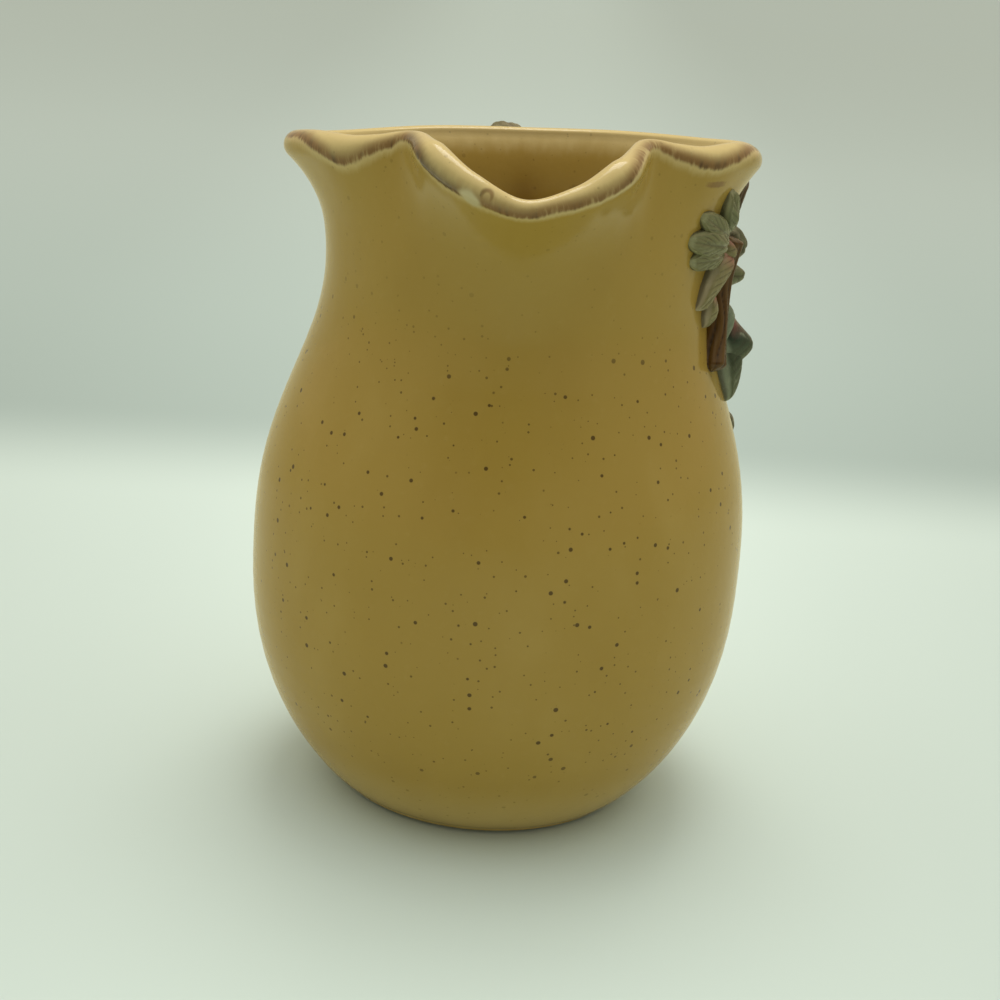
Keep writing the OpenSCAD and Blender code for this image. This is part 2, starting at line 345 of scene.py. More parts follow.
@dataclass(frozen=True)
class Finish:
    """A fired finish: its own colours are in the classes built on this one.

    Attributes:
        name: the material's name.
        slot: name of a material slot; not used.
        gloss: index of refraction of the glaze.
        depth: what a full step of the small relief is, in millimetres.
    """

    name: str
    slot: str
    gloss: float = 1.45
    depth: float = 0.1

    def look(self, nodes: Nodes) -> tuple[Channel, Channel | float, Channel]:
        """The colour, roughness and small relief of this finish; each kind gives its own."""
        raise NotImplementedError

    def feed(self, nodes: Nodes) -> dict[str, object]:
        """Builds the look under a bumped normal.

        Args:
            nodes: the tree to build in.

        Returns:
            What feeds the shader, by the names of its sockets.
        """
        colour, roughness, height = self.look(nodes)
        relief = {"Strength": 1.0, "Distance": self.depth * METRES, "Height": height}
        normal = nodes.node("ShaderNodeBump", {}, relief)
        return {"Base Color": colour, "Roughness": roughness, "IOR": self.gloss, "Normal": normal}


# ---------- meshes


@dataclass
class Loft:
    """A closed skin over rings of points, closed off at both ends.

    Attributes:
        rings: the points, ring by ring, in millimetres.
        marks: what its finish reads, a value or a place for each point, by name.
    """

    rings: Array
    marks: dict[str, Array]

    def with_ends(self, values: Array) -> Array:
        """Adds the mean of the first and of the last ring to the flat list of values."""
        flat = values.reshape(-1, *values.shape[2:])
        return np.concatenate([flat, values[0].mean(0)[None], values[-1].mean(0)[None]])

    def faces(self) -> list[tuple[int, ...]]:
        """The faces: quads between the rings and a fan at each end.

        Returns:
            Each face's point numbers, wound so that the skin faces outwards.
        """
        count, sides = self.rings.shape[:2]
        low = np.arange(sides)
        high = np.roll(low, -1)
        ring = np.stack([low, high, high + sides, low + sides], 1)
        quads = np.concatenate([ring + number * sides for number in range(count - 1)])
        last, ends = (count - 1) * sides, np.full(sides, count * sides)
        fans = [[high, low, ends], [low + last, high + last, ends + 1]]
        points = self.with_ends(self.rings)
        a, b, c, d = (points[quads[:, i]] for i in range(4))
        inward = np.einsum("ij,ij->", a, np.cross(b, c) + np.cross(c, d)) < 0
        made = quads.tolist() + [face for fan in fans for face in np.stack(fan, 1).tolist()]
        return [tuple(face[::-1] if inward else face) for face in made]


def placed(name: str, data: bpy.types.ID) -> bpy.types.Object:
    """Adds an object to the scene.

    Args:
        name: its name.
        data: the mesh, lamp or camera that it shows.

    Returns:
        The object.
    """
    made = bpy.data.objects.new(name, data)
    bpy.context.scene.collection.objects.link(made)
    return made


def solid(name: str, lofts: Sequence[Loft], finish: bpy.types.Material) -> bpy.types.Object:
    """Makes one object of one skin or more.

    Args:
        name: the object's name.
        lofts: its skins, with marks of the same names.
        finish: its material.

    Returns:
        The object, smooth all over, in metres.
    """

    def joined(rows: list[Array]) -> Array:
        """One flat list of every skin's values."""
        return np.concatenate(rows).astype(np.float32)

    points = [loft.with_ends(loft.rings) * METRES for loft in lofts]
    faces, first = [], 0
    for loft, own in zip(lofts, points):
        faces += [tuple(i + first for i in face) for face in loft.faces()]
        first += len(own)
    mesh = bpy.data.meshes.new(name)
    mesh.from_pydata(joined(points).tolist(), [], faces)
    mesh.polygons.foreach_set("use_smooth", [True] * len(mesh.polygons))
    for mark in lofts[0].marks:
        values = joined([loft.with_ends(loft.marks[mark]) for loft in lofts])
        kind, key = ("FLOAT", "value") if values.ndim == 1 else ("FLOAT_VECTOR", "vector")
        layer = mesh.attributes.new(mark, kind, "POINT")
        layer.data.foreach_set(key, values.ravel())
    mesh.materials.append(finish)
    mesh.update()
    return placed(name, mesh)


@dataclass
class Piece:
    """One physical piece of the pitcher.

    Attributes:
        node: name of the CAD solid that it stands for.
        finish: what it is finished with.
    """

    node: str
    finish: Finish

    def lofts(self) -> list[Loft]:
        """The piece's skins; each kind of piece gives its own."""
        raise NotImplementedError

    def add(self, materials: dict[str, bpy.types.Material]) -> bpy.types.Object:
        """Adds the piece to the scene, in its frame.

        Args:
            materials: the materials made so far, by name.

        Returns:
            The piece's object.
        """
        if self.finish.name not in materials:
            materials[self.finish.name] = paint(self.finish.name, self.finish.feed)
        made = solid(self.node + "_look", self.lofts(), materials[self.finish.name])
        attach(made, ROOT_BODY)
        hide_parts(self.node)
        log.info("%s: %d faces, %s", made.name, len(made.data.polygons), self.finish.name)
        return made


# ---------- the body's form

# Azimuth of a place on the lip, and there the shares of the edge's height over the neck, of the
# spout's reach and of the wall's thickness
LIP_SHARES = (
    (-180, 0.64, 0.33, 1.10), (-150, 0.62, 0.34, 1.15), (-125, 0.59, 0.44, 1.25),
    (-105, 0.60, 0.54, 1.40), (-88, 0.65, 0.53, 1.55), (-70, 0.72, 0.37, 1.75),
    (-54, 0.77, 0.24, 1.75), (-44, 0.87, 0.06, 1.30), (-37, 0.94, -0.02, 1.05),
    (-31, 0.94, 0.16, 1.20), (-23, 0.89, 0.60, 1.50), (-12, 0.77, 0.86, 1.25),
    (0, 0.66, 0.90, 1.05), (12, 0.73, 0.82, 1.25), (23, 0.86, 0.64, 1.55),
    (31, 0.95, 0.22, 1.25), (37, 1.00, -0.04, 1.05), (44, 0.95, 0.04, 1.30),
    (54, 0.87, 0.22, 1.75), (70, 0.85, 0.36, 1.75), (88, 0.79, 0.42, 1.50),
    (105, 0.77, 0.46, 1.35), (125, 0.73, 0.41, 1.20), (150, 0.69, 0.34, 1.15),
)  # fmt: skip

# Azimuth, where the brushed line's lower edge runs (millimetres down from the lip's outer
# edge), its width and its strength
LINE_ROWS = (
    (-170, -0.6, 2.6, 0.8), (-140, -1.2, 2.8, 0.9), (-115, -3.2, 2.8, 0.9),
    (-100, -5.2, 2.8, 0.9), (-85, -5.9, 2.8, 0.9), (-75, -6.0, 3.0, 1.0), (-70, -4.8, 3.0, 1.0),
    (-65, -3.0, 3.0, 1.0), (-60, -1.1, 3.0, 1.0), (-55, 1.4, 3.2, 1.0),
    (-50, 2.2, 3.2, 0.9), (-45, 0.9, 3.0, 0.8), (-40, 1.0, 2.8, 0.9),
    (-35, -0.2, 2.8, 1.0), (-30, -1.2, 2.8, 1.1), (-25, -1.8, 3.0, 1.2),
    (-20, 0.6, 3.4, 1.3), (-15, 1.8, 3.8, 1.3), (-10, 1.5, 3.6, 1.2),
    (-5, -0.1, 3.0, 0.9), (0, -0.8, 2.6, 0.8), (5, -1.7, 2.6, 0.9),
    (10, -1.7, 2.6, 0.9), (15, -1.4, 2.6, 0.9), (20, -1.6, 2.6, 1.0),
    (25, -3.6, 2.6, 0.9), (30, -3.6, 2.4, 0.8), (35, -1.2, 2.6, 0.8),
    (40, 0.2, 2.8, 0.9), (45, 0.3, 3.0, 0.9), (50, -0.4, 3.0, 0.9),
    (55, -1.0, 3.0, 0.9), (60, -2.1, 3.0, 0.9), (65, -3.5, 3.0, 0.9),
    (70, -5.3, 3.0, 0.9), (75, -6.3, 2.8, 0.9), (85, -6.5, 2.8, 0.9),
    (95, -5.5, 2.8, 0.9), (112, -3.2, 2.8, 0.8), (140, -1.2, 2.6, 0.8),
)  # fmt: skip

# Radius of the circle on which the lip's brushwork is laid out
LIP_RADIUS = 66.0

# The floor inside, ring by ring from the wall: the share of the wall's radius, and the share of
# the wall's height over the floor that is left there
FLOOR_SHARES = (
    (0.985, 0.86), (0.96, 0.68), (0.92, 0.46), (0.86, 0.27), (0.76, 0.13), (0.6, 0.05),
    (0.4, 0.02), (0.2, 0.01), (0.06, 0.0),
)  # fmt: skip


@dataclass(frozen=True)
class Form:
    """The body's shape: a turned pot with a pulled lip, in the same sizes as the CAD."""

    foot_r: float = 47.5
    foot_w: float = 7
    foot_h: float = 1.8
    foot_ledge: float = 4.5
    floor_t: float = 4.5
    belly_r: float = 83
    belly_z: float = 80
    neck_r: float = 63.2
    neck_z: float = 178
    wall: float = 6
    edge_z: float = 228
    spout_reach: float = 25
    throat_drop: float = 13
    roll_h: float = 12
    throat_turn: float = 36
    foot_full: float = 2.3
    foot_round: float = 1 / 1.2
    shoulder_full: float = 1.35
    flare_full: float = 2.8
    probe: float = 0.3

    def lip(self, azimuth: Array) -> Array:
        """Sizes of the lip.

        Args:
            azimuth: where.

        Returns:
            The edge's height, the reach and the thickness, in a last axis of three.
        """
        shares = around(LIP_SHARES, azimuth)
        sizes = np.array([self.edge_z - self.neck_z, self.spout_reach, self.wall])
        return shares * sizes + np.array([self.neck_z, 0, 0])

    def turned_r(self, z: Array) -> Array:
        """Radius of the turned pot before the lip is pulled.

        Args:
            z: heights.

        Returns:
            The radius at each height.
        """
        low_r = self.foot_r + self.foot_ledge
        rise = np.clip((z - self.foot_h) / (self.belly_z - self.foot_h), 0, 1)
        full = (1 - (1 - rise) ** self.foot_full) ** self.foot_round
        low = low_r + (self.belly_r - low_r) * full
        rise = np.clip((z - self.belly_z) / (self.neck_z - self.belly_z), 0, 1)
        drawn = (1 - np.cos(math.pi * rise**self.shoulder_full)) / 2
        high = self.belly_r - (self.belly_r - self.neck_r) * drawn
        return np.where(z < self.belly_z, low, high)

    def outer(self, azimuth: Array, z: Array) -> Array:
        """Points of the outer surface.

        Args:
            azimuth, z: where, round the pitcher and up.

        Returns:
            The points, in a last axis of three.
        """
        azimuth, z = np.broadcast_arrays(azimuth, z)
        lip = self.lip(azimuth)
        throat = np.clip(turned_back(azimuth) / self.throat_turn, -1, 1)
        start = self.neck_z - self.throat_drop * (1 + np.cos(math.pi * throat)) / 2
        flare = (np.maximum(z - start, 0) / (lip[..., 0] - start)) ** self.flare_full
        return on_ray(azimuth, self.turned_r(z) + lip[..., 1] * flare, z)

    def outer_r(self, azimuth: Array, z: Array) -> Array:
        """Radius of the outer surface."""
        return np.linalg.norm(self.outer(azimuth, z)[..., :2], axis=-1)

    def upward(self, azimuth: Array, z: Array) -> Array:
        """Direction up along the outer surface."""
        return unit(self.outer(azimuth, z) - self.outer(azimuth, z - self.probe))

    def outward(self, azimuth: Array, z: Array) -> Array:
        """Direction square out of the outer surface."""
        across = self.outer(azimuth + self.probe, z) - self.outer(azimuth - self.probe, z)
        return unit(np.cross(across, self.upward(azimuth, z)))

    def wall_at(self, z: Array, lip: Array) -> Array:
        """Thickness of the wall, growing into the rolled lip."""
        grown = eased((z - lip[..., 0]) / self.roll_h + 1)
        return self.wall + (lip[..., 2] - self.wall) * grown


def on_ray(azimuth: Array, radius: Array, z: Array) -> Array:
    """The points at those azimuths, radii and heights."""
    turn = np.radians(azimuth)
    return np.stack([radius * np.sin(turn), -radius * np.cos(turn), z + 0 * radius], -1)


@dataclass(frozen=True)
class Touch:
    """A mark left on the body by a brush, a tool or the fire.

    Attributes:
        azimuth, half_turn: where its middle is and half its width, in degrees.
        place, half_span: where its middle is and half its height, in millimetres.
    """

    azimuth: float
    place: float
    half_turn: float
    half_span: float

    def share(self, azimuth: Array, place: Array) -> Array:
        """How strong the mark is at those places."""
        across = turned_back(azimuth - self.azimuth) / self.half_turn
        return bump(across) * bump((place - self.place) / self.half_span)


@dataclass
class Body(Piece):
    """The thrown body: foot ring, wall, rolled lip and hollow, as one skin.

    Attributes:
        low_rings, high_rings, roll_steps: rings up to the throat, up to the edge and over it.
        inset: how far the roll and the inner skin stay inside the CAD's.
        corner: how far over the underside the wall's inner skin stops.
        smudge, chalk: the brown mark and the pale chip, down from the lip's outer edge.
        pool: a painted dark reflection on the inner wall under the handle, by its height.
    """

    form: Form = field(default_factory=Form)
    columns: int = 360
    low_rings: int = 92
    high_rings: int = 50
    roll_steps: int = 18
    ring_crowding: float = 1.12
    inset: float = 0.3
    corner: float = 5.5
    smudge: Touch = Touch(57.8, 4.3, 5.6, 1.3)
    chalk: Touch = Touch(-10.4, 0.2, 2.8, 3.6)
    # A painted dark reflection on the inner back wall, under the handle.
    pool: Touch = Touch(180, 183, 5.5, 15)

    def outside(self, azimuth: Array) -> Array:
        """Heights of the outer rings, from the foot to the lip's edge.

        Args:
            azimuth: azimuth of each column.

        Returns:
            The heights, ring by ring and column by column.
        """
        form = self.form
        low_z = form.neck_z - form.throat_drop
        steps = np.linspace(0, 1, self.low_rings) ** self.ring_crowding
        low = form.foot_h + (low_z - form.foot_h) * steps
        steps = np.linspace(0, 1, self.high_rings + 1)[1:, None]
        high = low_z + (form.lip(azimuth)[..., 0] - low_z) * steps
        return np.concatenate([np.repeat(low[:, None], len(azimuth), 1), high])

    def thrown(self, azimuth: Array, z: Array) -> Array:
        """How far the hand left the wall inside its true surface.

        Args:
            azimuth, z: where.

        Returns:
            The distance in millimetres: a slow unevenness and faint throwing rings.
        """
        turn = np.radians(azimuth)
        slow = wander(2 * np.sin(turn), 2 * np.cos(turn), z / 30, seed=3)
        pitch = 6.5 + 1.5 * np.sin(z / 31)
        rings = np.sin(2 * math.pi * z / pitch + turn)
        return (0.35 - 0.10 * slow) * eased(z / 14) - 0.035 * rings * eased((z - 20) / 25)

    def lofts(self) -> list[Loft]:
        """The body's skin, from the middle of its underside to the middle of its floor.

        Returns:
            The one skin.
        """
        form = self.form
        azimuth = np.arange(self.columns) * 360 / self.columns - 180
        z = self.outside(azimuth)
        lip = form.lip(azimuth)
        square = form.outward(azimuth, z)
        wall = form.outer(azimuth, z) - square * self.thrown(azimuth, z)[..., None]
        along = form.upward(azimuth, lip[:, 0])
        turns = np.linspace(0, math.pi, self.roll_steps + 1)[1:-1, None, None]
        half = (lip[:, 2, None] - self.inset) / 2
        roll = wall[-1] - square[-1] * half
        roll = roll + (square[-1] * np.cos(turns) + along * np.sin(turns)) * half
        low_z = form.foot_h + self.corner
        inner_rows = [i for i in range(len(z) - 1, 0, -2) if z[i].min() > low_z]
        thick = form.wall_at(z, lip)[..., None]
        inner = (form.outer(azimuth, z) - square * (thick - self.inset))[inner_rows]
        middle = np.array([0, 0, form.foot_h + form.floor_t])
        shares = np.array([(out, out, up) for out, up in FLOOR_SHARES])[:, None]
        floor = middle + (inner[-1] - middle) * shares
        under = self.underside(azimuth)
        rings = np.concatenate([under, wall, roll, inner, floor])
        return [Loft(rings, self.marks(azimuth, rings, len(under), len(wall), len(roll)))]

    def underside(self, azimuth: Array) -> Array:
        """The recess under the floor and the foot ring, out to the wall.

        Args:
            azimuth: azimuth of each column.

        Returns:
            The rings, from the middle outwards.
        """
        form = self.form
        foot, high = form.foot_r, form.foot_h
        inside, start = foot - form.foot_w, foot + form.foot_ledge
        profile = [
            (4.0, high), (inside * 0.6, high), (inside - 1.2, high), (inside - 0.3, high - 0.2),
            (inside, high - 0.6), (inside + 0.05, 0.6), (inside + 0.3, 0.2), (inside + 0.9, 0.0),
            (foot - 1.2, 0.0), (foot - 0.5, 0.1), (foot - 0.1, 0.3), (foot, 0.6),
            (foot + 0.4, 0.85), (start - 1.1, 0.9), (start - 0.6, 0.93), (start - 0.25, 1.1),
            (start - 0.08, 1.4),
        ]  # fmt: skip
        return np.stack([on_ray(azimuth, np.full(len(azimuth), r), z) for r, z in profile])

    def marks(
        self, azimuth: Array, rings: Array, under: int, wall: int, roll: int
    ) -> dict[str, Array]:
        """What the glaze reads from the mesh.

        Args:
            azimuth: azimuth of each column.
            rings: the skin's points.
            under, wall, roll: how many rings belong to the underside, outer wall and lip's roll.

        Returns:
            A value or a place for each point, by name.
        """
        steps = np.linalg.norm(np.diff(rings, axis=0), axis=-1)
        length = np.concatenate([np.zeros((1, len(azimuth))), np.cumsum(steps, 0)])
        edge = under + wall - 1
        run = length[edge] - length
        line = around(LINE_ROWS, azimuth)
        inside = np.zeros_like(run)
        inside[edge + roll + 1 :] = 1
        crest = length[edge] - length[edge + roll // 2]
        return {
            "line": (line[:, 0] - run) / line[:, 1],
            "line_share": np.repeat(line[None, :, 2], len(rings), 0),
            "past_crest": crest - run,
            "inside": inside,
            "smudge": self.smudge.share(azimuth, run) * (1 - inside),
            "chalk": self.chalk.share(azimuth, run) * (1 - inside),
            # Where the painted dark reflection lies inside.
            "pool": self.pool.share(azimuth, rings[..., 2]) * inside,
            "skin": rings,
            "lip_place": on_ray(azimuth, np.full(run.shape, LIP_RADIUS), run),
        }


@dataclass(frozen=True)
class HoneyGlaze(Finish):
    """Glossy honey yellow with dark specks, a cream lip with a brown line, a bare foot.

    Attributes:
        honey, deep, light: the glaze, and where it lies thick and thin.
        pooled, pool: painted light, paler glaze near the foot for the light that the table bounces
            up, and a painted dark reflection inside under the handle.
        line, dark_line: the brushed line, thin and thick.
        chalk: the chip beside the spout.
        curl, curl_r: middle and radius of the line's curled end, on the lip's circle.
    """

    honey: Tone = (168, 138, 62)
    deep: Tone = (156, 125, 50)
    light: Tone = (182, 154, 82)
    # Painted light: paler glaze near the foot, standing in for light bounced up from the table.
    floor_bounce_light: Tone = (206, 180, 112)
    cream: Tone = (206, 183, 122)
    line: Tone = (124, 88, 46)
    dark_line: Tone = (70, 42, 20)
    speck: Tone = (66, 46, 22)
    # Colour of the painted dark reflection inside under the handle.
    pool: Tone = (120, 84, 16)
    chalk: Tone = (196, 184, 142)
    clay: Tone = (176, 138, 104)
    curl: Triple = (-8.4, -65.5, -2.1)
    curl_r: float = 1.0

    def lip(self, nodes: Nodes, colour: Channel, grain: Channel) -> Channel:
        """Lays the cream of the lip and the brushed line over the honey.

        Args:
            nodes: the tree to build in.
            colour: the honey.
            grain: the glaze's fine cloudiness.

        Returns:
            The colour with the lip's brushwork.
        """
        place = nodes.place("lip_place")
        streaks = nodes.noise(nodes.stretch(place, (1, 1, 0.2)), 0.9, 3)
        ragged = nodes.noise(nodes.stretch(place, (1, 1, 0.5)), 5.0, 2)
        line = nodes.mark("line") + streaks * 0.13 + ragged * 0.16
        past = nodes.mark("past_crest") + ragged * 1.2
        cream = line.rise(-1.2, 0.1) * past.rise(15.0, 6.0) * (0.9 + grain * 0.05)
        chalk = (nodes.mark("chalk") + ragged * 0.12).rise(0.3, 0.7)
        share = nodes.mark("line_share")
        worn = (share + streaks * 0.3 + ragged * 0.32).rise(0.1, 0.95)
        stroke = line.rise(-0.3, 0.2) * line.rise(1.9, 0.3) * worn * (1 - chalk)
        smudge = (nodes.mark("smudge") + streaks * 0.12).rise(0.35, 0.75) * 0.75
        away = nodes.apart(nodes.stretch(place, (1, 1, 0.6)), self.curl)
        curl = abs(away - self.curl_r + ragged * 0.3).rise(0.8, 0.1) * (worn * 0.75)
        heavy = (ragged + streaks * 0.7 + (share - 1) * 3).rise(-0.2, 1.0)
        brown = nodes.coats(self.line, (self.dark_line, heavy))
        laid = stroke.at_least(smudge).at_least(curl) * 0.94
        return nodes.coats(
            colour, (self.cream, cream), (self.chalk, chalk * 0.75), (brown, laid)
        )

    def look(self, nodes: Nodes) -> tuple[Channel, Channel | float, Channel]:
        """The glaze's colour, roughness and small relief.

        Args:
            nodes: the tree to build in.

        Returns:
            The three channels.
        """
        skin = nodes.place("skin")
        height = nodes.parts(skin)[2]
        clouds = nodes.noise(nodes.stretch(skin, (1, 1, 0.6)), 34, 3)
        grain = nodes.noise(skin, 3.2, 3)
        colour = nodes.coats(
            self.honey,
            (self.light, clouds.rise(0.0, 1.5) * 0.45),
            (self.deep, (0 - clouds).rise(0.0, 1.5) * 0.45),
            (self.light, grain.rise(0.2, 1.6) * 0.2),
            # Painted light: paler below 30 mm, standing in for light bounced up from the table.
            (self.floor_bounce_light, height.rise(30, 2) * 0.75),
            # Painted dark reflection inside under the handle.
            (self.pool, nodes.mark("pool") * 0.8),
        )
        colour = self.lip(nodes, colour, grain)
        band = height.rise(8, 50) * height.rise(186, 150) * 0.75 + 0.25
        large = nodes.specks(skin, 4.4, 0.95, 0.85) * band
        small = nodes.specks(skin, 2.3, 0.5, 0.75) * (band * 0.7 + 0.1)
        specks = large.at_least(small)
        bare = height.rise(0.8, 0.3) * nodes.mark("inside").rise(0.6, 0.4)
        colour = nodes.coats(colour, (self.speck, specks * 0.85), (self.clay, bare))
        relief = grain * 0.12 + nodes.noise(skin, 0.9, 2) * 0.05 - specks * 0.3
        roughness = (grain.rise(-1.5, 1.5) * 0.05 + 0.1) + bare * 0.5
        return colour, roughness, relief


# ---------- handle and stems


@dataclass(frozen=True)
class Bark(Finish):
    """Brushed and glazed bark: dark in the grooves, worn paler on the ridges."""

    dark: Tone = (42, 34, 16)
    middle: Tone = (72, 70, 34)
    pale: Tone = (102, 102, 56)

    def look(self, nodes: Nodes) -> tuple[Channel, Channel | float, Channel]:
        """The bark's colour, roughness and small relief.

        Args:
            nodes: the tree to build in.

        Returns:
            The three channels.
        """
        place = nodes.place("bark_place")
        fibres = nodes.noise(nodes.stretch(place, (1, 1, 0.12)), 1.6, 3)
        clouds = nodes.noise(nodes.stretch(place, (1, 1, 0.5)), 9, 2)
        groove = nodes.mark("groove") + fibres * 0.22
        colour = nodes.coats(
            self.middle,
            (self.dark, groove.rise(0.2, 0.95)),
            (self.pale, groove.rise(0.15, -0.35) * 0.55),
            (self.dark, clouds.rise(0.1, 1.4) * 0.5),
        )
        return colour, fibres.rise(-1, 1) * 0.12 + 0.2, fibres * 0.3 - groove * 0.2


def bark_place(turn: Array, radius: float, along: Array) -> Array:
    """Coordinates for bark, round a straight stem of that radius and along it."""
    turn, along = np.broadcast_arrays(turn, along)
    return np.stack([radius * np.cos(turn), radius * np.sin(turn), along], -1)


def curve(guides: Sequence[tuple[float, float]], t: Array) -> tuple[Array, Array]:
    """A curve drawn out by four guiding points.

    Args:
        guides: the points.
        t: places along it, 0 to 1.

    Returns:
        The points and the directions there.
    """
    a, b, c, d = (np.array(point, float) for point in guides)
    t = np.asarray(t, float)[..., None]
    middle = a * (1 - t) ** 3 + b * 3 * t * (1 - t) ** 2 + c * 3 * t**2 * (1 - t) + d * t**3
    way = (b - a) * (1 - t) ** 2 + (c - b) * 2 * t * (1 - t) + (d - c) * t**2
    return middle, unit(way)


@dataclass(frozen=True)
class Scar:
    """A knot where a side twig was cut off.

    Attributes:
        along: place along the stem, 0 to 1.
        turn: place round it, in degrees.
        radius: its radius, in millimetres.
        height: how far it stands out.
    """

    along: float
    turn: float
    radius: float
    height: float

    def lift(self, length: float, girth: float, along: Array, turn: Array) -> Array:
        """How far the knot lifts the bark: a ring with a dimple in it.

        Args:
            length, girth: the stem's length and radius.
            along, turn: places along it, 0 to 1, and round it, in degrees.

        Returns:
            The lift in millimetres.
        """
        across = np.radians(turned_back(turn - self.turn)) * girth
        away = np.hypot((along - self.along) * length, across) / self.radius
        return self.height * (bump(away / 1.25) - 0.75 * bump(away / 0.55))


@dataclass
class Handle(Piece):
    """The branch handle, from the neck round to the belly.

    Attributes:
        width, thick: its section between the roots.
        reach, rise: how far its curve draws away from the body, and up.
        root_depth: how far its ends go on inside the wall.
        root_reach_share, root_spread_share: how long a root is, and how much wider.
        embed: how far its skin goes into the wall, beside the roots.
        length, girth: its length and mean radius, for the bark.
        knots, knot_turn: how many steps its unevenness has, and degrees of a wave in each.
    """

    form: Form = field(default_factory=Form)
    azimuth: float = 185
    width: float = 17
    thick: float = 14
    top_z: float = 196
    low_z: float = 101
    reach: float = 84
    rise: float = 40
    low_draw_share: float = 1.33
    root_depth: float = 8
    root_reach_share: float = 0.13
    root_spread_share: float = 0.5
    embed: float = 1.2
    length: float = 190
    girth: float = 8
    knots: int = 26
    knot_turn: float = 130
    rings: int = 230
    sides: int = 96
    scars: tuple[Scar, ...] = (
        Scar(0.24, 40, 4.2, 0.9),
        Scar(0.47, 150, 3.6, 0.8),
        Scar(0.68, 55, 4.6, 0.9),
        Scar(0.40, 280, 3.4, 0.6),
    )

    def guides(self) -> list[tuple[float, float]]:
        """The guiding points of the handle's curve.

        Returns:
            Their radii and heights.
        """
        top_r = float(self.form.outer_r(self.azimuth, self.top_z))
        low_r = float(self.form.outer_r(self.azimuth, self.low_z))
        return [
            (top_r, self.top_z),
            (top_r + self.reach / 2, self.top_z + self.rise),
            (self.form.belly_r + self.reach, self.low_z + self.rise * self.low_draw_share),
            (low_r, self.low_z),
        ]

    def groove(self, t: Array, turn: Array) -> Array:
        """The bark's grooves.

        Args:
            t, turn: places along the handle, 0 to 1, and round it, in degrees.

        Returns:
            0 on a ridge and 1 in a groove.
        """
        turn = np.radians(turn)
        bend = turn + 1.1 * t + 0.16 * wander(turn * 2, t * 14, seed=11)
        wide = np.abs(np.sin(3.5 * bend + 0.8 * wander(t * 9, 0 * turn, seed=12)))
        fine = np.abs(np.sin(9 * bend + 1.4 * wander(t * 17, np.sin(turn), seed=13)))
        return np.clip(1 - (0.62 * wide**0.6 + 0.38 * fine**0.6), 0, 1)

    def lofts(self) -> list[Loft]:
        """The handle's skin, which goes on into the wall at both roots.

        Returns:
            The one skin.
        """
        depth = np.array([self.root_depth] + [0.0] * self.rings + [self.root_depth])
        t = np.concatenate([[0.0], np.linspace(0, 1, self.rings), [1.0]])[:, None]
        turn = (np.arange(self.sides) * 360 / self.sides)[None]
        middle, way = curve(self.guides(), t[:, 0])
        sign = np.where(t[:, 0] < 0.5, -1, 1)
        middle = middle + way * (depth * sign)[:, None]
        roots = sum(np.maximum(0, 1 - s / self.root_reach_share) ** 2 for s in (t, 1 - t))
        knots = 0.03 * np.sin(np.radians(t * self.knots * self.knot_turn))
        knots = knots + 0.025 * wander(t * 20, 0 * turn, seed=5)
        size = (1 + knots) * (1 + self.root_spread_share * roots) / 2
        groove = self.groove(t, turn)
        lift = -0.85 * groove * (1 - 0.6 * np.clip(roots, 0, 1)) - 0.05
        for scar in self.scars:
            lift = lift + scar.lift(self.length, self.girth, t, turn)
        side = (self.width * size + lift) * np.cos(np.radians(turn))
        up = (self.thick * size + lift) * np.sin(np.radians(turn))
        radius = middle[:, :1] - way[:, 1:] * up
        z = middle[:, 1:] + way[:, :1] * up
        azimuth = self.azimuth + np.degrees(np.arctan2(side, radius))
        reach = np.maximum(np.hypot(side, radius), self.form.outer_r(azimuth, z) - self.embed)
        place = bark_place(np.radians(turn), self.girth, self.length * t)
        return [Loft(on_ray(azimuth, reach, z), {"groove": groove, "bark_place": place})]


@dataclass(frozen=True)
class Sprig:
    """Where the relief lies: round the neck from the branch, and down from the branch's top."""

    form: Form = field(default_factory=Form)
    turn: float = 82
    top_z: float = 197.5
    length: float = 42

    def lay(self, along: Array, z: Array, height: Array) -> Array:
        """Points on the wall, by their way round the neck, their z and their height off it."""
        azimuth = self.turn + np.degrees(along / self.form.neck_r)
        return self.form.outer(azimuth, z) + self.form.outward(azimuth, z) * height[..., None]


